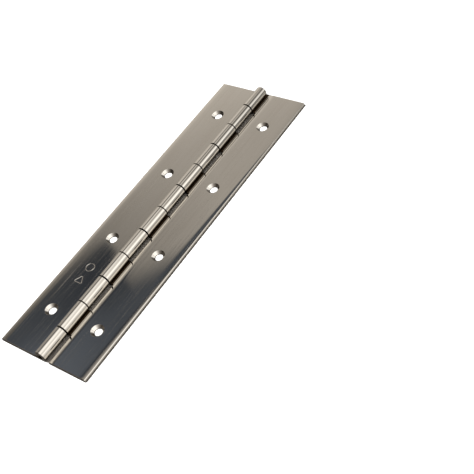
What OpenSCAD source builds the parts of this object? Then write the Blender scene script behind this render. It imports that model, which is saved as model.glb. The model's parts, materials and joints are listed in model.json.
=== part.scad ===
// Piano hinge in stainless sheet, lying open flat with its screw-head side up.
// X runs across the hinge, Y along the pin and Z up. The origin is on the back face of
// the leaves, under the middle of the pin. Millimetres.

/* [Leaves] */
// Length of the hinge along its pin
hinge_length = 180; // [120:15:300]
// Width over both leaves when the hinge lies open flat
open_width = 51; // [44:1:80]
// Thickness of the sheet that both leaves are cut from
sheet_t = 1.5; // [1.2:0.1:1.8]

/* [Knuckles] */
// Number of knuckles in the barrel, half of them on each leaf
knuckle_count = 12; // [8:2:16]
// Wider gap between neighbouring knuckles, after the odd ones
wide_gap = 0.6; // [0.4:0.05:0.9]
// Narrower gap between neighbouring knuckles, after the even ones
narrow_gap = 0.25; // [0.1:0.05:0.35]
// Distance from the pin's axis to the edge of a notch in the leaf
notch_reach = 4.05; // [3.6:0.05:5]
// Height of the slit between the end of a curl and its own leaf's face
curl_slit = 0.4; // [0.2:0.05:0.8]
// Chamfer on the outer edge of each knuckle's ends
knuckle_chamfer = 0.12; // [0.05:0.01:0.2]
// Chamfer on the far end of the last knuckle
tail_chamfer = 0.45; // [0.2:0.05:0.6]
// How far the last knuckle stops short of its leaf's end
tail_set_back = 0.4; // [0.2:0.1:1]

/* [Pin] */
// Diameter of the hinge pin
pin_d = 2.8; // [2.4:0.1:3.2]
// Radial clearance of the pin in the knuckles that turn on it
pin_play = 0.05; // [0.02:0.01:0.1]
// Depth of the pin's end inside the first knuckle
pin_recess = 1.2; // [0.5:0.1:2]
// Length of the first knuckle that is staked onto the pin
stake_length = 4; // [2:0.5:5]
// Depth of the pin's other end inside the last knuckle
tail_recess = 0.5; // [0.2:0.1:1]
// Chamfer on the pin's ends
pin_chamfer = 0.3; // [0.1:0.05:0.5]

/* [Screw holes] */
// Number of screw holes along each leaf
hole_count = 4; // [2:1:6]
// Diameter of the screw holes
hole_d = 3.8; // [3.2:0.1:4]
// Diameter of the countersinks at the leaf's face
head_d = 6.4; // [5.6:0.1:6.4]
// Distance from a hole's centre to the leaf's outer edge
hole_inset = 11.4; // [8:0.1:12]

/* [Inspection mark] */
// Diameter of the stamped ring, which is also the height of the triangle beside it
mark_size = 4.8; // [3:0.1:6]
// Width of the stamped line
mark_line = 0.45; // [0.3:0.05:0.6]
// Depth of the stamped line
mark_depth = 0.12; // [0.05:0.01:0.2]
// Distance from the middle of the ring to the middle of the triangle
mark_pitch = 8; // [7:0.5:10]
// Distance from the pin's axis to the middle of the mark
mark_x = 12.7; // [10:0.1:16]

/* [Hidden] */
$fn = 96;

pin_r = pin_d / 2;
bore_r = pin_r + pin_play;
barrel_r = bore_r + sheet_t;
leaf_w = open_width / 2;
near_end = -hinge_length / 2;
far_end = hinge_length / 2;
knuckle_pitch = hinge_length / knuckle_count;
hole_pitch = hinge_length / hole_count;
hole_x = leaf_w - hole_inset;
// Direction of a curl's end as seen from the pin's axis, below the horizontal
curl_end = asin((sheet_t + curl_slit - barrel_r) / barrel_r);
mark_y = near_end + hole_pitch;
// Reach of a cutting tool past the face that it starts from
past = 1;

// Seam n lies after knuckle n, and the seams after odd knuckles are the wide ones
function seam_gap(n) = (n < 1 || n >= knuckle_count) ? 0 : n % 2 == 1 ? wide_gap : narrow_gap;
function seam_y(n) = near_end + n * knuckle_pitch;
function knuckle_start(n) = seam_y(n - 1) + seam_gap(n - 1) / 2;
function knuckle_end(n) = seam_y(n) - seam_gap(n) / 2;

// Cylinder along the pin's axis, from one place on it to another
module along_pin(from, to, r) {
    translate([0, from, barrel_r])
        rotate([-90, 0, 0])
            cylinder(h = to - from, r = r);
}

// Solid round blank of a knuckle with a chamfer at each end
module knuckle_blank(from, to, chamfer_from, chamfer_to) {
    translate([0, from, barrel_r])
        rotate([-90, 0, 0]) {
            cylinder(h = chamfer_from, r1 = barrel_r - chamfer_from, r2 = barrel_r);
            translate([0, 0, chamfer_from])
                cylinder(h = to - from - chamfer_from - chamfer_to, r = barrel_r);
            translate([0, 0, to - from - chamfer_to])
                cylinder(h = chamfer_to, r1 = barrel_r, r2 = barrel_r - chamfer_to);
        }
}

// The part of the round blank that the curled sheet leaves empty: the wedge between the
// pin's axis and the flat sheet, which lets the curl's end stop short of the leaf
module curl_opening(from, to) {
    reach = 2 * barrel_r;
    translate([0, to + past, barrel_r])
        rotate([90, 0, 0])
            linear_extrude(to - from + 2 * past)
                polygon([
                    [0, 0],
                    [0, -reach],
                    [reach, -reach],
                    [reach * cos(curl_end), reach * sin(curl_end)]
                ]);
}

// Rolled knuckle number n of the leaf on the +X side
module knuckle(n) {
    from = knuckle_start(n);
    to = knuckle_end(n) - (n == knuckle_count ? tail_set_back : 0);
    stake_end = near_end + pin_recess + stake_length;
    difference() {
        knuckle_blank(from, to, knuckle_chamfer, n == knuckle_count ? tail_chamfer : knuckle_chamfer);
        if (n == 1) {
            along_pin(from - past, to, pin_r);
            along_pin(stake_end, to + past, bore_r);
        } else {
            along_pin(from - past, to + past, bore_r);
        }
        curl_opening(from, to);
    }
}

// Notch that leaves room for the other leaf's knuckle number n
module notch(n) {
    from = n == 1 ? near_end - past : knuckle_start(n) - seam_gap(n - 1);
    to = n == knuckle_count ? far_end + past : knuckle_end(n) + seam_gap(n);
    translate([-past, from, -past])
        cube([notch_reach + past, to - from, sheet_t + 2 * past]);
}

// Countersunk screw hole
module screw_hole() {
    sink = (head_d - hole_d) / 2;
    translate([0, 0, -past])
        cylinder(h = sheet_t + past, d = hole_d);
    translate([0, 0, sheet_t - sink])
        cylinder(h = sink + past, d1 = hole_d, d2 = head_d + 2 * past);
}

// Leaf on the +X side that carries the knuckles first, first + 2 and so on
module leaf(first) {
    other = 3 - first;
    difference() {
        translate([0, near_end, 0])
            cube([leaf_w, hinge_length, sheet_t]);
        for (n = [other : 2 : knuckle_count])
            notch(n);
        for (k = [0 : hole_count - 1])
            translate([hole_x, near_end + (k + 0.5) * hole_pitch, 0])
                screw_hole();
    }
    for (n = [first : 2 : knuckle_count])
        knuckle(n);
}

// Stamped inspection mark, a ring and a triangle, as the groove that it leaves
module inspection_mark() {
    translate([0, mark_pitch / 2, sheet_t - mark_depth])
        difference() {
            cylinder(h = mark_depth + past, d = mark_size);
            translate([0, 0, -past])
                cylinder(h = mark_depth + 3 * past, d = mark_size - 2 * mark_line);
        }
    translate([0, -mark_pitch / 2, sheet_t - mark_depth])
        difference() {
            triangle(mark_size * 2 / 3, mark_depth + past);
            translate([0, 0, -past])
                triangle(mark_size * 2 / 3 - 2 * mark_line, mark_depth + 3 * past);
        }
}

// Equilateral triangle with its corners at the given radius
module triangle(r, h) {
    linear_extrude(h)
        polygon([for (a = [90, 210, 330]) r * [cos(a), sin(a)]]);
}

// Leaf on the -X side, with the odd knuckles
module left_leaf() {
    color([0.63, 0.60, 0.56])
        difference() {
            mirror([1, 0, 0])
                leaf(1);
            translate([-mark_x, mark_y, 0])
                inspection_mark();
        }
}

// Leaf on the +X side, with the even knuckles
module right_leaf() {
    color([0.63, 0.60, 0.56])
        leaf(2);
}

// Straight wire pin through all the knuckles
module hinge_pin() {
    from = near_end + pin_recess;
    to = far_end - tail_set_back - tail_recess;
    color([0.55, 0.54, 0.52]) {
        along_pin(from + pin_chamfer, to - pin_chamfer, pin_r);
        translate([0, from, barrel_r])
            rotate([-90, 0, 0])
                cylinder(h = pin_chamfer, r1 = pin_r - pin_chamfer, r2 = pin_r);
        translate([0, to - pin_chamfer, barrel_r])
            rotate([-90, 0, 0])
                cylinder(h = pin_chamfer, r1 = pin_r, r2 = pin_r - pin_chamfer);
    }
}

left_leaf();
right_leaf();
hinge_pin();
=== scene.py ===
import json
from math import cos, degrees, pi, radians, sin

import bpy
from mathutils import Matrix, Vector, noise
from mathutils.geometry import delaunay_2d_cdt


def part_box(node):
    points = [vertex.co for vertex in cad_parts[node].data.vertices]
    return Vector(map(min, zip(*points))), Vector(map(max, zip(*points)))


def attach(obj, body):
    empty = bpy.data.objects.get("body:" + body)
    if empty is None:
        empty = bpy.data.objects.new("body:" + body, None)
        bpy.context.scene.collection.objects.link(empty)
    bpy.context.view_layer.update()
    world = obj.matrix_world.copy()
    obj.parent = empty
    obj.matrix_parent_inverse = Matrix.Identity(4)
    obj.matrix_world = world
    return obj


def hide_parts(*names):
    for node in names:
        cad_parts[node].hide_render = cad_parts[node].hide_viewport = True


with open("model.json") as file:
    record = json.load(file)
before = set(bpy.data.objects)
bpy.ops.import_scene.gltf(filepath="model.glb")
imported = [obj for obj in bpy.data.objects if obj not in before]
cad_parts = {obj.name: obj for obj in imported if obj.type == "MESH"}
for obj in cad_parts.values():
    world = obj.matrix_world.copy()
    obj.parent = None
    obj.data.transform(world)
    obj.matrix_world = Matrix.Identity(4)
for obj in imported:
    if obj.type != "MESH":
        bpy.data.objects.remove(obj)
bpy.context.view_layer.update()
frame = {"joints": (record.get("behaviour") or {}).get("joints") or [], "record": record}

# Looks of a piano hinge lying open. Metres, in the CAD model's frame: X runs across the
# hinge, Y along the pin, Z up from the back of the leaves, and the pin's axis is at x = 0.

MM = 0.001

# ---- Sizes that the frame gives ----------------------------------------------------------
RECORD = frame["record"]
LEAF_LOW, LEAF_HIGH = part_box("right_leaf")
PIN_LOW, PIN_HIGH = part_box("hinge_pin")
NEAR, FAR = LEAF_LOW.y, LEAF_HIGH.y
LEAF_W = LEAF_HIGH.x
AXIS_Z = frame["joints"][0]["pos_m"][2]
BARREL_R = AXIS_Z
PIN_R = (PIN_HIGH.x - PIN_LOW.x) / 2

# ---- Sizes of the rolled sheet -----------------------------------------------------------
SHEET_T = 1.5 * MM
KNUCKLES = 12
WIDE_GAP = 0.6 * MM
NARROW_GAP = 0.25 * MM
NOTCH_X = 4.05 * MM
TAB_X = NOTCH_X - 0.5 * MM
TAIL_SET_BACK = 0.4 * MM
TAIL_ROUND = 0.45 * MM
# Turn over which the last knuckle draws back from its leaf's end
TAIL_EASE = radians(25)
HEAD_R = 3.2 * MM
HOLE_STRAIGHT = 0.2 * MM
# Turn of the strip from the flat leaf to the end of its curl
CURL_TURN = radians(270 + 20.9)
CURL_STEPS = 78
CURL_END_ROUND = 0.1 * MM
PIN_END_ROUND = 0.3 * MM
PIN_FLAT_R = 0.3 * PIN_R

# ---- Stamped mark ------------------------------------------------------------------------
MARK_DEPTH = 0.12 * MM
MARK_LINE = 0.45 * MM
MARK_SIZE = 4.8 * MM
MARK_PITCH = 8 * MM
TRIANGLE_REACH = 0.4 * MARK_SIZE
TRIANGLE_CORNER_R = 0.35 * MM
MARK_X = 12.7 * MM
MARK_Y = NEAR + (FAR - NEAR) / 4

# ---- Small edges -------------------------------------------------------------------------
ROLL_OVER = 0.48 * MM
BURR_ROUND = 0.12 * MM
SHEAR_DEPTH = 1.1 * MM
BREAK_INSET = 0.05 * MM
CORNER_R = 0.55 * MM
RIM_ROUND = 0.08 * MM

# ---- How far the top face strays from flat -----------------------------------------------
# Rolling the knuckles leaves a shallow hollow along them. It is given for the +X leaf (1) and
# for the -X leaf (-1): how far from the pin it ends, and its depth at the notches' edge
HOLLOW_END = {1: 8 * MM, -1: 5.6 * MM}
HOLLOW_DEPTH = {1: 0.35 * MM, -1: 0.1 * MM}
# Places of the extra lines of points along Y, from the notches' edge and from the outer edge
ROOT_COLUMNS = (0.65 * MM, 0.9 * MM, 1.2 * MM, 1.7 * MM, 2.3 * MM, 3.0 * MM, 3.9 * MM)
EDGE_COLUMNS = (0.7 * MM, 1.1 * MM, 1.6 * MM, 2.2 * MM, 3.0 * MM, 4.0 * MM)
COLUMN_STEP = 1.5 * MM
# Spacing of the other points on the faces, and as shares of it the height of their triangles
# and how clear they keep of the outlines and of the lines along Y
FACE_STEP = 3 * MM
ROW_SHARE = 0.87
OUTLINE_CLEARANCE = 0.45
COLUMN_CLEARANCE = 0.3
# Shearing leaves a droop along the outer edges
DROOP_START = 21.5 * MM
DROOP_DEPTH = 0.115 * MM
# Slow waves that a rolled sheet keeps, with their lengths across and along the leaf
WAVE_HEIGHT = 0.02 * MM
WAVE_LENGTHS = (26 * MM, 42 * MM)
WAVE_START = 5 * MM
WAVE_FULL = 11 * MM
WAVE_SLICE = 0.7

PITCH = (FAR - NEAR) / KNUCKLES


# ---- Mesh parts --------------------------------------------------------------------------
class Shell:
    """Vertices and faces of one piece while it is being built. flat holds the numbers of
    the faces that lie in a leaf's plane, which alone shade the points they share."""

    def __init__(self):
        self.points = []
        self.faces = []
        self.flat = set()

    def add(self, points):
        first = len(self.points)
        self.points.extend(tuple(p) for p in points)
        return list(range(first, first + len(points)))

    def band(self, upper, lower):
        """Quads between two equally long loops of vertices."""
        count = len(upper)
        for i in range(count):
            j = (i + 1) % count
            self.faces.append((upper[i], lower[i], lower[j], upper[j]))


def arc_steps(count):
    """Angles that divide a quarter turn."""
    return [radians(90) * i / count for i in range(count + 1)]


def eased(share):
    """Smooth step from 0 to 1."""
    share = min(1, max(0, share))
    return share * share * (3 - 2 * share)


def edge_profile(top_round, bottom_round):
    """(inset, height) of a sheared edge, from the top face down to the bottom face."""
    top = [(top_round * (1 - sin(a)), SHEET_T - top_round * (1 - cos(a))) for a in arc_steps(4)]
    sheared = SHEET_T - SHEAR_DEPTH
    middle = [(0, sheared), (BREAK_INSET, sheared - BREAK_INSET)]
    inner = max(bottom_round, BREAK_INSET)
    bottom = [
        (BREAK_INSET + (inner - BREAK_INSET) * (1 - cos(a)), bottom_round * (1 - sin(a)))
        for a in arc_steps(3)
    ]
    return top + middle + bottom


PROFILE = edge_profile(ROLL_OVER, BURR_ROUND)
LEVELS = len(PROFILE)


def seam_gap(n):
    """Gap after knuckle n."""
    if n < 1 or n >= KNUCKLES:
        return 0
    return WIDE_GAP if n % 2 else NARROW_GAP


def knuckle_start(n):
    return NEAR + (n - 1) * PITCH + seam_gap(n - 1) / 2


def knuckle_end(n):
    return NEAR + n * PITCH - seam_gap(n) / 2


def leaf_outline(own):
    """Plan outline of the +X leaf, anticlockwise: (x, y) points, and for each knuckle the
    place in that list where its tab's end begins."""
    points = []
    cx = LEAF_W - CORNER_R
    for cy, first in ((NEAR + CORNER_R, radians(-90)), (FAR - CORNER_R, 0)):
        for turn in arc_steps(4):
            a = first + turn
            points.append((cx + CORNER_R * cos(a), cy + CORNER_R * sin(a)))
    tabs = {}
    if own[-1] != KNUCKLES:
        points.append((NOTCH_X, FAR))
    for n in reversed(own):
        if n != KNUCKLES:
            points.append((NOTCH_X, knuckle_end(n)))
        tabs[n] = (TAB_X, knuckle_end(n))
        points.append(tabs[n])
        points.append((TAB_X, knuckle_start(n)))
        if n != 1:
            points.append((NOTCH_X, knuckle_start(n)))
    if own[0] != 1:
        points.append((NOTCH_X, NEAR))
    return points, tabs


def split_outline(points, tabs, step):
    """Puts extra points on the long edges, and gives each point its inward direction."""
    ends = {corner: n for n, corner in tabs.items()}
    dense, tab_places = [], {}
    for i, here in enumerate(points):
        there = points[(i + 1) % len(points)]
        if here in ends:
            tab_places[ends[here]] = len(dense)
            dense.append(here)
            continue
        span = Vector(there) - Vector(here)
        pieces = max(1, round(span.length / step))
        for k in range(pieces):
            dense.append(tuple(Vector(here) + span * (k / pieces)))
    starts = set(tab_places.values())
    inward = []
    count = len(dense)
    for i in range(count):
        before = Vector(dense[i]) - Vector(dense[i - 1])
        after = Vector(dense[(i + 1) % count]) - Vector(dense[i])
        n1 = Vector((-before.y, before.x)).normalized()
        n2 = Vector((-after.y, after.x)).normalized()
        if i in starts:
            inward.append(n1)
        elif (i - 1) % count in starts:
            inward.append(n2)
        else:
            inward.append((n1 + n2) / (1 + n1.dot(n2)))
    return dense, inward, tab_places


def inside(x, y, loops):
    """Even-odd test of a point against closed loops of (x, y)."""
    odd = False
    for loop in loops:
        px, py = loop[-1]
        for qx, qy in loop:
            if (py > y) != (qy > y) and x < px + (y - py) * (qx - px) / (qy - py):
                odd = not odd
            px, py = qx, qy
    return odd


def cap(shell, loops, height, upward, columns=()):
    """Fills the flat region between loops of vertices with well-shaped triangles. columns
    are extra lines of points along Y, where the face curves across them."""
    flat = [[shell.points[v][:2] for v in loop] for loop in loops]
    owner = [v for loop in loops for v in loop]
    plan = [Vector(p) for loop in flat for p in loop]
    edges, first = [], 0
    for loop in loops:
        count = len(loop)
        edges += [(first + i, first + (i + 1) % count) for i in range(count)]
        first += count
    step = FACE_STEP
    clear = (OUTLINE_CLEARANCE * step) ** 2
    beside = COLUMN_CLEARANCE * step
    rows = round((FAR - NEAR) / (step * ROW_SHARE))
    extra = []
    for row in range(1, rows):
        y = NEAR + (FAR - NEAR) * row / rows
        x = NOTCH_X + step * (0.5 if row % 2 else 1.0)
        while x < LEAF_W:
            crowded = any((p.x - x) ** 2 + (p.y - y) ** 2 < clear for p in plan)
            crowded = crowded or any(abs(column - x) < beside for column in columns)
            if not crowded and inside(x, y, flat):
                extra.append(Vector((x, y)))
            x += step
    for column in columns:
        for row in range(1, round((FAR - NEAR) / COLUMN_STEP)):
            extra.append(Vector((column, NEAR + row * COLUMN_STEP)))
    owner += shell.add([(p.x, p.y, height) for p in extra])
    # The triangulation works in single precision, so it runs on millimetres
    in_mm = [p / MM for p in plan + extra]
    found, _, triangles, sources, _, _ = delaunay_2d_cdt(in_mm, edges, [], 0, 1e-5)
    vertex = [owner[source[0]] for source in sources]
    for triangle in triangles:
        middle = sum((found[i] for i in triangle), Vector((0, 0))) / 3 * MM
        if not inside(middle.x, middle.y, flat):
            continue
        a, b, c = (found[i] for i in triangle)
        turns_left = (b - a).cross(c - a) > 0
        corners = [vertex[i] for i in triangle]
        shell.flat.add(len(shell.faces))
        shell.faces.append(tuple(corners if turns_left == upward else reversed(corners)))


def top_columns():
    """Distances from the pin of the extra lines of points on a leaf's top face."""
    return [NOTCH_X + c for c in ROOT_COLUMNS] + [LEAF_W - c for c in EDGE_COLUMNS]


def ring(x, y, radius, height, count=48):
    """Points of a level circle."""
    return [
        (x + radius * cos(2 * pi * i / count), y + radius * sin(2 * pi * i / count), height)
        for i in range(count)
    ]


def screw_hole(shell, x, y, hole_r):
    """Countersunk wall of one hole. Returns its top and bottom rings."""
    half = RIM_ROUND / 2
    steps = (
        (HEAD_R + half, SHEET_T),
        (HEAD_R - half / 4, SHEET_T - half / 4),
        (HEAD_R - RIM_ROUND, SHEET_T - RIM_ROUND),
        (hole_r + half, HOLE_STRAIGHT + half),
        (hole_r, HOLE_STRAIGHT - half / 2),
        (hole_r, half),
        (hole_r + half, 0),
    )
    rings = [shell.add(ring(x, y, r, z)) for r, z in steps]
    for upper, lower in zip(rings, rings[1:]):
        shell.band(lower, upper)
    return rings[0], rings[-1]


def mark_groove(shell, outline):
    """Stamped groove with a rounded floor. outline(offset) gives the line's plan points
    moved outwards by offset. Returns the loops where the groove meets the sheet."""
    places = ((-0.5, 0), (-0.3, 0.8), (0, 1), (0.3, 0.8), (0.5, 0))
    runs = [
        shell.add([(x, y, SHEET_T - MARK_DEPTH * depth) for x, y in outline(MARK_LINE * across)])
        for across, depth in places
    ]
    for inner, outer in zip(runs, runs[1:]):
        shell.band(inner, outer)
    return runs[0], runs[-1]


def ring_line(offset):
    """Plan of the stamped ring's line."""
    radius = MARK_SIZE / 2 - MARK_LINE / 2 + offset
    return [p[:2] for p in ring(MARK_X, MARK_Y + MARK_PITCH / 2, radius, 0)]


def triangle_line(offset):
    """Plan of the stamped triangle's line, with softly rounded corners."""
    soft = TRIANGLE_CORNER_R + offset
    points = []
    for point in range(3):
        centre = radians(90 + 120 * point)
        cx, cy = TRIANGLE_REACH * cos(centre), TRIANGLE_REACH * sin(centre)
        for step in range(9):
            a = centre + radians(-60 + 15 * step)
            x = MARK_X + cx + soft * cos(a)
            y = MARK_Y - MARK_PITCH / 2 + cy + soft * sin(a)
            points.append((x, y))
    return points


def section(y0, y1, outer_round, shrink):
    """Closed loop (y, depth) round the sheet at one place along a curl. Depth is measured
    from the sheet's back, which becomes the outside of the barrel."""
    start = [(y0 + inset, height) for inset, height in PROFILE]
    end = [(y1 - inset, height) for inset, height in edge_profile(ROLL_OVER, outer_round)]
    loop = start + end[::-1]
    if shrink:
        middle = SHEET_T / 2
        loop = [
            (min(max(y, y0 + shrink), y1 - shrink), middle + (z - middle) * (1 - shrink / middle))
            for y, z in loop
        ]
    return loop


def curl_stations():
    """Places along the strip from the tab to the curl's end: (x, turn) with the turn in
    radians, 0 where the strip is still flat."""
    flat = [(TAB_X * (1 - i / 3), 0) for i in range(1, 4)]
    return flat + [(0, CURL_TURN * i / CURL_STEPS) for i in range(1, CURL_STEPS + 1)]


def knuckle(shell, n, joint):
    """Curls the strip of knuckle n round the pin. joint is the loop of the tab's end."""
    previous = joint
    for x, turn in curl_stations():
        previous = curl_ring(shell, n, x, turn, 0, previous)
    for a in arc_steps(3)[1:]:
        shrink = CURL_END_ROUND * (1 - cos(a))
        forward = CURL_END_ROUND * sin(a)
        turn = CURL_TURN + forward / (BARREL_R - SHEET_T / 2)
        previous = curl_ring(shell, n, 0, turn, shrink, previous)
    for i in range(LEVELS - 1):
        near_a, near_b = previous[i], previous[i + 1]
        far_a, far_b = previous[-1 - i], previous[-2 - i]
        shell.faces.append((near_a, far_a, far_b, near_b))


def curl_ring(shell, n, x, turn, shrink, previous):
    """Adds one section of knuckle n's strip and joins it to the one before."""
    y0, y1 = knuckle_start(n), knuckle_end(n)
    outer_round = BURR_ROUND
    if n == KNUCKLES:
        share = eased(turn / TAIL_EASE)
        y1 -= TAIL_SET_BACK * share
        outer_round += (TAIL_ROUND - BURR_ROUND) * share
    angle = radians(270) - turn
    points = []
    for y, depth in section(y0, y1, outer_round, shrink):
        radius = BARREL_R - depth
        points.append((x + radius * cos(angle), y, AXIS_Z + radius * sin(angle)))
    now = shell.add(points)
    shell.band(previous, now)
    return now


def leaf(name, own, side, holes, hole_r, marked):
    """One leaf with its knuckles. side is +1 or -1, the side of the pin that it lies on."""
    shell = Shell()
    plan, inward, tabs = split_outline(*leaf_outline(own), FACE_STEP)
    rings = [
        shell.add([(p[0] + d.x * inset, p[1] + d.y * inset, height) for p, d in zip(plan, inward)])
        for inset, height in PROFILE
    ]
    starts = set(tabs.values())
    count = len(plan)
    for upper, lower in zip(rings, rings[1:]):
        for i in range(count):
            j = (i + 1) % count
            if i not in starts:
                shell.faces.append((upper[i], lower[i], lower[j], upper[j]))
    tops, bottoms = [rings[0]], [rings[-1]]
    for x, y in holes:
        top, bottom = screw_hole(shell, x, y, hole_r)
        tops.append(top)
        bottoms.append(bottom)
    if marked:
        for line in (ring_line, triangle_line):
            tops.extend(mark_groove(shell, line))
    cap(shell, tops, SHEET_T, True, top_columns())
    cap(shell, bottoms, 0, False)
    for n, i in tabs.items():
        near_side = [level[(i + 1) % count] for level in rings]
        far_side = [level[i] for level in rings]
        knuckle(shell, n, near_side + far_side[::-1])
    return finish_piece(name, shell, side)


def face_height(x, y, side):
    """Height of the top face over its flat place, at a distance x from the pin."""
    fade = eased((x - WAVE_START) / (WAVE_FULL - WAVE_START))
    place = Vector((x / WAVE_LENGTHS[0], y / WAVE_LENGTHS[1], WAVE_SLICE))
    wave = WAVE_HEIGHT * fade * noise.noise(place)
    end = HOLLOW_END[side]
    hollow = HOLLOW_DEPTH[side] * (max(0, end - max(x, NOTCH_X)) / (end - NOTCH_X)) ** 3
    droop = DROOP_DEPTH * (max(0, x - DROOP_START) / (LEAF_W - DROOP_START)) ** 3
    return wave - hollow * min(1, max(0, x / TAB_X)) - droop


def face_normal(x, y, side):
    """Direction that the top face looks in, with x counted outwards from the pin."""
    step = 0.05 * MM
    along_x = (face_height(x + step, y, side) - face_height(x - step, y, side)) / (2 * step)
    along_y = (face_height(x, y + step, side) - face_height(x, y - step, side)) / (2 * step)
    return Vector((-side * along_x, -along_y, 1)).normalized()


def settle(x, y, z, side):
    """Height of a point once the sheet's top face has its hollow, waves and droop."""
    if x <= 0 or z > SHEET_T:
        return z
    return z + face_height(x, y, side) * z / SHEET_T


def finish_piece(name, shell, side=1, settled=True):
    """Turns a shell into a smooth-shaded object."""
    points = [(side * x, y, settle(x, y, z, side) if settled else z) for x, y, z in shell.points]
    faces = shell.faces if side > 0 else [f[::-1] for f in shell.faces]
    mesh = bpy.data.meshes.new(name)
    mesh.from_pydata(points, [], faces)
    mesh.shade_smooth()
    mesh.normals_split_custom_set_from_vertices(shading_normals(mesh, shell.flat))
    piece = bpy.data.objects.new(name, mesh)
    bpy.context.scene.collection.objects.link(piece)
    return piece


def shading_normals(mesh, flat):
    """Normal of each point, led by its large faces, so that flats stay flat beside edges."""
    sums = [Vector() for _ in mesh.vertices]
    led = set()
    for face in mesh.polygons:
        if face.index in flat:
            for v in face.vertices:
                if v not in led:
                    led.add(v)
                    sums[v] = Vector()
                sums[v] += face.normal * face.area
    for face in mesh.polygons:
        if face.index not in flat:
            for v in face.vertices:
                if v not in led:
                    sums[v] += face.normal * face.area ** 1.5
    normals = [s.normalized() for s in sums]
    for v in led:
        if normals[v].z > 0:
            x, y, _ = mesh.vertices[v].co
            normals[v] = face_normal(abs(x), y, 1 if x > 0 else -1)
    return normals


def pin(name):
    """Straight wire with rounded ends."""
    shell = Shell()
    start = [(0, PIN_FLAT_R)]
    for a in arc_steps(4):
        start.append((PIN_END_ROUND * (1 - cos(a)), PIN_R - PIN_END_ROUND * (1 - sin(a))))
    length = PIN_HIGH.y - PIN_LOW.y
    stations = start + [(length - y, r) for y, r in reversed(start)]
    rings = []
    for y, r in stations:
        circle = ring(0, 0, r, 0, 64)
        rings.append(shell.add([(p[0], PIN_LOW.y + y, AXIS_Z + p[1]) for p in circle]))
    for near, far in zip(rings, rings[1:]):
        shell.band(near, far)
    shell.faces.append(tuple(rings[0]))
    shell.faces.append(tuple(reversed(rings[-1])))
    return finish_piece(name, shell, settled=False)


# ---- Materials ---------------------------------------------------------------------------
class Nodes:
    """Short calls for making and linking shader nodes."""

    def __init__(self, tree):
        self.tree = tree
        tree.nodes.clear()

    def add(self, kind, inputs=None, **settings):
        node = self.tree.nodes.new(kind)
        for key, value in settings.items():
            setattr(node, key, value)
        for key, value in (inputs or {}).items():
            if isinstance(value, bpy.types.NodeSocket):
                self.tree.links.new(value, node.inputs[key])
            else:
                node.inputs[key].default_value = value
        return node

    def math(self, operation, a, b=0.0):
        return self.add("ShaderNodeMath", {0: a, 1: b}, operation=operation).outputs[0]

    def product(self, first, *others):
        """Product of all the values."""
        for other in others:
            first = self.math("MULTIPLY", first, other)
        return first

    def largest(self, first, *others):
        """Largest of the values."""
        for other in others:
            first = self.math("MAXIMUM", first, other)
        return first

    def away(self, value, place):
        """Distance of a value from a place."""
        return self.math("ABSOLUTE", self.math("SUBTRACT", value, place))

    def blend(self, share, under, over):
        """Colour under with a share of the colour over laid on it."""
        node = self.add("ShaderNodeMix", {0: share, 6: under, 7: over}, data_type="RGBA")
        return node.outputs[2]

    def smooth(self, value, low, high, to_low=0.0, to_high=1.0):
        """Smooth step from one level to another."""
        node = self.add(
            "ShaderNodeMapRange",
            {"Value": value, "From Min": low, "From Max": high, "To Min": to_low, "To Max": to_high},
            interpolation_type="SMOOTHSTEP",
        )
        return node.outputs[0]

    def ramp(self, value, low, high, to_low, to_high):
        """Straight line from one level to another, held at both ends."""
        node = self.add(
            "ShaderNodeMapRange",
            {"Value": value, "From Min": low, "From Max": high, "To Min": to_low, "To Max": to_high},
        )
        return node.outputs[0]

    def noise(self, vector, scale, detail):
        """Noise whose features measure 1 / scale in each direction."""
        placed = self.add("ShaderNodeMapping", {"Vector": vector, "Scale": scale})
        node = self.add(
            "ShaderNodeTexNoise",
            {"Vector": placed.outputs[0], "Scale": 1.0, "Detail": detail, "Roughness": 0.55},
        )
        return node.outputs["Fac"]


# Dark brown painted on the steel, and where it lies: painted shade on the barrel within a distance of
# each seam and in the crevice between a knuckle and its own leaf, out to a distance from the pin, and
# a dark band along the middle of every second knuckle. The pairs are where it starts and stops fading
DARK_BROWN = (0.035, 0.022, 0.012, 1)
SEAM_SHADE = (0.2 * MM, 0.45 * MM)
SEAM_STRENGTH = 0.85
CREVICE_SHADE = (NOTCH_X - 0.1 * MM, NOTCH_X + 0.22 * MM)
# Turn round the pin's axis from +X, and length along each pair of knuckles as a share of it
DARK_BAND_TURN = radians(17)
DARK_BAND_HALF_ARC = (0.05, 0.11)
DARK_BAND_PLACE = 0.26
DARK_BAND_HALF_LENGTH = (0.08, 0.13)
DARK_BAND_STRENGTH = 0.75

# Features of the surface, as repeats to the metre across the leaf, along it and upwards
BROAD_LINES = (900, 10, 900)
FINE_LINES = (5000, 50, 5000)
CLOUDS = (110, 50, 110)
SCRATCHES = (6500, 30, 6500)
SCRATCH_ROUGHNESS = 0.15
DULL_ROUGHNESS = 0.3


def cut_faces_and_shade(n, facing, height):
    """Mask of the faces across the hinge, and of the torn lower half of the sheared edges. Their dark
    colour is the dull sheared steel and also painted shade in the seams.
    """
    across = n.smooth(n.math("ABSOLUTE", facing.outputs[1]), 0.25, 0.7)
    upright = n.smooth(n.math("ABSOLUTE", facing.outputs[0]), 0.6, 0.9)
    low = n.smooth(height, 0.2 * MM, 0.4 * MM, 0.7, 0.0)
    return n.largest(across, n.product(upright, low))


def crevice_shade_mask(n, from_pin, facing, height):
    """Mask of the painted shade in the crevices."""
    near_knuckle = n.smooth(from_pin, *CREVICE_SHADE, 1.0, 0.0)
    facing_up = n.smooth(facing.outputs[2], 0.5, 0.8)
    on_leaf = n.smooth(height, SHEET_T, SHEET_T + 0.2 * MM, 1.0, 0.0)
    return n.product(near_knuckle, facing_up, on_leaf)


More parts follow.
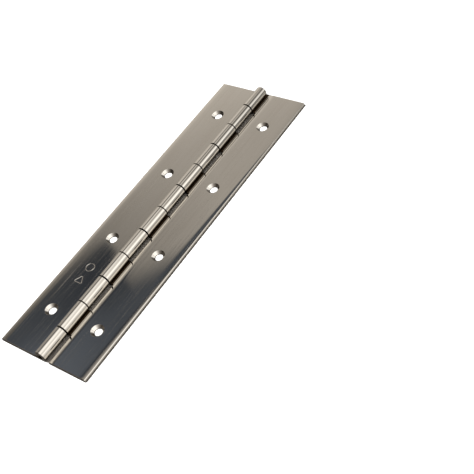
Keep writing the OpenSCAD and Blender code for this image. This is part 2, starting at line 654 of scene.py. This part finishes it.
def barrel_shade_and_band(n, spot, from_pin):
    """Mask of the painted shade on the barrel beside the seams, and of the dark bands along it."""
    height = spot.outputs[2]
    along = n.math("SUBTRACT", spot.outputs[1], NEAR)
    outside = n.smooth(height, SHEET_T + 0.3 * MM, SHEET_T + 0.5 * MM)

    # A dark band painted along the barrel on part of every second knuckle
    turn = n.math("ARCTAN2", n.math("SUBTRACT", height, AXIS_Z), spot.outputs[0])
    on_arc = n.smooth(n.away(turn, DARK_BAND_TURN), *DARK_BAND_HALF_ARC, 1.0, 0.0)
    pair_share = n.math("FRACT", n.math("DIVIDE", along, 2 * PITCH))
    on_length = n.smooth(n.away(pair_share, DARK_BAND_PLACE), *DARK_BAND_HALF_LENGTH, 1.0, 0.0)
    dark_band = n.product(on_arc, on_length, outside, DARK_BAND_STRENGTH)

    # Painted shade on the barrel beside each seam
    from_seam = n.math("PINGPONG", n.math("DIVIDE", along, PITCH), 0.5)
    start, end = SEAM_SHADE
    seam = n.smooth(from_seam, start / PITCH, end / PITCH, SEAM_STRENGTH, 0.0)
    on_barrel = n.smooth(from_pin, BARREL_R, BARREL_R + 0.2 * MM, 1.0, 0.0)
    return n.largest(dark_band, n.product(seam, on_barrel, outside))


def steel(name, colour, streak_colour, cut_and_shade_colour, roughness, streak_depth):
    """Polished stainless sheet with fine lines along Y from the rolling mill. Its sheared faces
    are darker and duller, partly as painted shade in the seams; painted shade also lies in its
    crevices and beside its seams, and a dark band lies on its barrel."""
    material = bpy.data.materials.new(name)
    material.use_nodes = True
    n = Nodes(material.node_tree)
    place = n.add("ShaderNodeTexCoord")
    where = place.outputs["Object"]
    facing = n.add("ShaderNodeSeparateXYZ", {0: place.outputs["Normal"]})
    spot = n.add("ShaderNodeSeparateXYZ", {0: where})
    height = spot.outputs[2]
    from_pin = n.math("ABSOLUTE", spot.outputs[0])
    # Faces across the hinge are painted dark: dull sheared steel, and painted shade in the seams
    cut_and_shade = cut_faces_and_shade(n, facing, height)
    crevice = crevice_shade_mask(n, from_pin, facing, height)
    # Painted shade in the crevices and beside the seams, and a dark band on the barrel
    darkened = n.largest(crevice, barrel_shade_and_band(n, spot, from_pin))

    streaks = n.product(n.noise(where, BROAD_LINES, 4.0), n.noise(where, FINE_LINES, 3.0))
    cloud = n.noise(where, CLOUDS, 3.0)
    tint = n.smooth(n.math("ADD", streaks, n.product(cloud, 0.5)), 0.35, 0.8)
    face = n.blend(tint, colour, streak_colour)
    # The painted shade and the dark band are laid on the colour in dark brown
    base = n.blend(darkened, n.blend(cut_and_shade, face, cut_and_shade_colour), DARK_BROWN)

    polish = n.smooth(n.math("ADD", streaks, n.product(cloud, 0.35)), 0.3, 0.7, *roughness)
    scratches = n.smooth(n.noise(where, SCRATCHES, 2.0), 0.58, 0.7, 0.0, SCRATCH_ROUGHNESS)
    rougher = n.product(n.largest(cut_and_shade, crevice), DULL_ROUGHNESS)
    rough = n.math("ADD", n.math("ADD", polish, scratches), rougher)
    bump = n.add("ShaderNodeBump", {"Strength": 1.0, "Distance": streak_depth, "Height": streaks})
    shader = n.add(
        "ShaderNodeBsdfPrincipled",
        {"Base Color": base, "Metallic": 1.0, "Roughness": rough, "Normal": bump.outputs[0]},
    )
    n.add("ShaderNodeOutputMaterial", {"Surface": shader.outputs[0]})
    return material


# ---- Pieces ------------------------------------------------------------------------------
def hole_places(side_name):
    """Hole centres on one leaf, as distances from the pin, and the holes' radius."""
    places, radius = [], 0
    for mount in RECORD["mounts"]:
        if mount["kind"] == "bolt_pattern" and mount["name"].startswith(side_name):
            x = abs(mount["pos_m"][0])
            reach = mount["dims"]["spacing_y_mm"] * MM / 2
            radius = mount["dims"]["hole_r_mm"] * MM
            places += [(x, -reach), (x, reach)]
    return places, radius


leaf_steel = steel(
    "leaf steel",
    colour=(0.67, 0.64, 0.595, 1),
    streak_colour=(0.63, 0.595, 0.545, 1),
    # Very dark: partly the sheared steel, partly painted shade in the seams between knuckles
    cut_and_shade_colour=(0.11, 0.095, 0.08, 1),
    roughness=(0.03, 0.09),
    streak_depth=0.0003 * MM,
)
pin_steel = steel(
    "pin steel",
    colour=(0.24, 0.23, 0.21, 1),
    streak_colour=(0.2, 0.19, 0.175, 1),
    cut_and_shade_colour=(0.12, 0.11, 0.1, 1),
    roughness=(0.2, 0.4),
    streak_depth=0.001 * MM,
)

for side_name, body, side, first, marked in (
    ("left_leaf", "left_side", -1, 1, True),
    ("right_leaf", "right_side", 1, 2, False),
):
    own = list(range(first, KNUCKLES + 1, 2))
    piece = leaf(side_name + "_sheet", own, side, *hole_places(side_name), marked)
    piece.data.materials.append(leaf_steel)
    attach(piece, body)
    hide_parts(side_name)

wire = pin("hinge_pin_wire")
wire.data.materials.append(pin_steel)
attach(wire, "left_side")
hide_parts("hinge_pin")


# ---- Studio ------------------------------------------------------------------------------
def aim(azimuth, elevation):
    """Unit vector towards an azimuth from +X and an elevation, in degrees."""
    a, e = radians(azimuth), radians(elevation)
    return Vector((cos(e) * cos(a), cos(e) * sin(a), sin(e)))


# The floor is white to the eye, and dimmer where the steel mirrors it
WHITE_PAPER = (0.9, 0.9, 0.9, 1)
MIRRORED_PAPER = (0.26, 0.25, 0.23, 1)
FLOOR_HALF = 2.0
FLOOR_Z = -0.1 * MM

# The room's colours
ROOM = (0.18, 0.17, 0.16, 1)
WALL_TINT = (1.0, 0.935, 0.85)
FLAG_TINT = (0.044, 0.05, 0.06)
CAMERA_SIDE_LIGHT = (1.7, 1.68, 1.64, 1)
PAPER_LIGHT = (0.04, 0.025, 0.01, 1)
PAPER_LIGHT_SHARE = 0.95

# Soft lights: azimuth and elevation in degrees, half width, half height, softness of the
# edges, colour. The first three lie behind the light on the camera's side
FAR_PANELS = (
    (10, 8, 0.3, 0.35, 0.2, (0.9, 0.87, 0.82, 1)),
    (122, 62, 0.3, 0.2, 0.15, (0.72, 0.68, 0.62, 1)),
    (36, 56, 0.2, 0.2, 0.12, (0.95, 0.91, 0.85, 1)),
)
NEAR_PANELS = (
    (66, 27, 0.3, 0.25, 0.15, (1.4, 1.38, 1.34, 1)),
    (27, 35, 0.25, 0.26, 0.18, (1.7, 1.67, 1.6, 1)),
    (80, 82, 0.35, 0.25, 0.15, (1.5, 1.47, 1.41, 1)),
)


def studio_floor():
    """White paper under the hinge."""
    mesh = bpy.data.meshes.new("studio floor")
    corners = [(-1, -1), (1, -1), (1, 1), (-1, 1)]
    points = [(x * FLOOR_HALF, y * FLOOR_HALF, FLOOR_Z) for x, y in corners]
    mesh.from_pydata(points, [], [(0, 1, 2, 3)])
    floor = bpy.data.objects.new("studio_floor", mesh)
    bpy.context.scene.collection.objects.link(floor)
    material = bpy.data.materials.new("white paper")
    material.use_nodes = True
    n = Nodes(material.node_tree)
    mirrored = n.add("ShaderNodeLightPath").outputs["Is Glossy Ray"]
    paper = n.blend(mirrored, WHITE_PAPER, MIRRORED_PAPER)
    shader = n.add("ShaderNodeBsdfPrincipled", {"Base Color": paper, "Roughness": 0.9})
    shader.inputs["Specular IOR Level"].default_value = 0.0
    n.add("ShaderNodeOutputMaterial", {"Surface": shader.outputs[0]})
    mesh.materials.append(material)


def panel(n, ray, azimuth, elevation, half_wide, half_high, soft):
    """Mask of a soft-edged rectangle seen in a direction, with its half sizes as tangents."""
    out = aim(azimuth, elevation)
    across = Vector((-sin(radians(azimuth)), cos(radians(azimuth)), 0))
    up = out.cross(across)

    def dot(v):
        return n.add("ShaderNodeVectorMath", {0: ray, 1: v}, operation="DOT_PRODUCT").outputs["Value"]

    depth = dot(out)
    safe = n.math("MAXIMUM", depth, 0.02)
    u = n.math("ABSOLUTE", n.math("DIVIDE", dot(across), safe))
    v = n.math("ABSOLUTE", n.math("DIVIDE", dot(up), safe))
    wide = n.smooth(u, half_wide - soft, half_wide + soft, 1.0, 0.0)
    high = n.smooth(v, half_high - soft, half_high + soft, 1.0, 0.0)
    facing = n.smooth(depth, 0.0, 0.1)
    return n.product(wide, high, facing)


def tinted(n, level, tint):
    """A tint made lighter or darker by a level."""
    node = n.add("ShaderNodeVectorMath", {0: level, 1: tint}, operation="MULTIPLY")
    return node.outputs[0]


def wall(n, azimuth, elevation):
    """Mask and colour of the warm grey wall beyond the hinge. It is lightest low down, and
    darkest towards its left end."""
    low = n.ramp(elevation, 34, 40, 0.78, 0.51)
    upper = n.ramp(elevation, 40, 47, 0.0, 0.06)
    shade = n.product(n.ramp(azimuth, 138, 152, 0.0, 0.25), n.smooth(elevation, 38, 43))
    level = n.math("SUBTRACT", n.math("SUBTRACT", low, upper), shade)
    level = n.product(level, n.ramp(azimuth, 152, 172, 1.0, 0.25))
    mask = n.product(n.smooth(elevation, 47, 55, 1.0, 0.0), n.smooth(azimuth, 100, 124))
    return mask, tinted(n, level, WALL_TINT)


def camera_side_light(n, azimuth, elevation):
    """Mask of the wide light behind the camera, which the countersinks mirror."""
    start = n.smooth(azimuth, -128, -108)
    end = n.smooth(azimuth, 8, 16, 1.0, 0.0)
    bottom = n.smooth(elevation, 16, 26)
    top = n.smooth(elevation, 60, 72, 1.0, 0.0)
    return n.product(start, end, bottom, top)


def flags(n, azimuth, elevation):
    """Mask and colour of the two black flags that meet at a corner, one beside the wall and
    one along its top. Their cloth is lightest at the left, and duller near the top."""
    foot = n.ramp(azimuth, 150, 160, 43.2, 44.4)
    over_foot = n.smooth(n.math("SUBTRACT", elevation, foot), -0.4, 0.6)
    beside = n.product(n.smooth(azimuth, 148.8, 149.6), over_foot)
    above = n.product(n.smooth(elevation, 45.3, 47.2), n.smooth(azimuth, 118, 130))
    top = n.smooth(elevation, 51.2, 55.5, 1.0, 0.0)
    mask = n.product(n.largest(beside, above), top)
    level = n.product(
        n.ramp(azimuth, 152, 160, 1.0, 1.7),
        n.ramp(elevation, 45.8, 47.5, 0.95, 1.8),
        n.ramp(elevation, 49.4, 51, 1.0, 0.55),
    )
    return mask, tinted(n, level, FLAG_TINT)


def surroundings():
    """Room seen in the steel: a warm grey wall, soft lights round the hinge and two flags.
    The camera sees plain white behind the hinge, and the floor gets little of this light."""
    world = bpy.data.worlds.new("studio room")
    world.use_nodes = True
    bpy.context.scene.world = world
    n = Nodes(world.node_tree)
    ray = n.add("ShaderNodeTexCoord").outputs["Generated"]
    parts = n.add("ShaderNodeSeparateXYZ", {0: ray})
    elevation = n.product(n.math("ARCSINE", parts.outputs[2]), degrees(1))
    azimuth = n.product(n.math("ARCTAN2", parts.outputs[1], parts.outputs[0]), degrees(1))

    wall_mask, wall_colour = wall(n, azimuth, elevation)
    light = n.blend(wall_mask, ROOM, wall_colour)
    for *shape, colour in FAR_PANELS:
        light = n.blend(panel(n, ray, *shape), light, colour)
    light = n.blend(camera_side_light(n, azimuth, elevation), light, CAMERA_SIDE_LIGHT)
    for *shape, colour in NEAR_PANELS:
        light = n.blend(panel(n, ray, *shape), light, colour)
    flag_mask, flag_colour = flags(n, azimuth, elevation)
    light = n.blend(flag_mask, light, flag_colour)

    path = n.add("ShaderNodeLightPath")
    to_paper = n.product(path.outputs["Is Diffuse Ray"], PAPER_LIGHT_SHARE)
    light = n.blend(to_paper, light, PAPER_LIGHT)
    light = n.blend(path.outputs["Is Camera Ray"], light, (1, 1, 1, 1))
    background = n.add("ShaderNodeBackground", {"Color": light, "Strength": 1.0})
    n.add("ShaderNodeOutputWorld", {"Surface": background.outputs[0]})


def floor_light():
    """Soft light on the floor from above and a little from -X. The steel doesn't mirror it."""
    light = bpy.data.lights.new("floor light", "SUN")
    light.energy = 5.4
    light.angle = radians(12)
    lamp = bpy.data.objects.new("floor_light", light)
    lamp.rotation_euler = (radians(14), radians(-20), 0)
    lamp.visible_glossy = False
    bpy.context.scene.collection.objects.link(lamp)


def camera():
    """Looks down along the hinge from beyond its right near corner, slightly rolled."""
    place = Vector((0.2473, -0.1809, 0.2893))
    target = Vector((0.0416, 0.0019, 0))
    roll = radians(-19.82)
    forward = (target - place).normalized()
    level = forward.cross(Vector((0, 0, 1))).normalized()
    upright = level.cross(forward)
    right = cos(roll) * level + sin(roll) * upright
    up = right.cross(forward)
    data = bpy.data.cameras.new("camera")
    data.sensor_width = 36
    data.lens = 67.18
    data.clip_start = 0.01
    view = bpy.data.objects.new("camera", data)
    turned = Matrix((right, up, -forward)).transposed().to_4x4()
    view.matrix_world = Matrix.Translation(place) @ turned
    bpy.context.scene.collection.objects.link(view)
    bpy.context.scene.camera = view


studio_floor()
surroundings()
floor_light()
camera()
bpy.context.scene.view_settings.view_transform = "Standard"
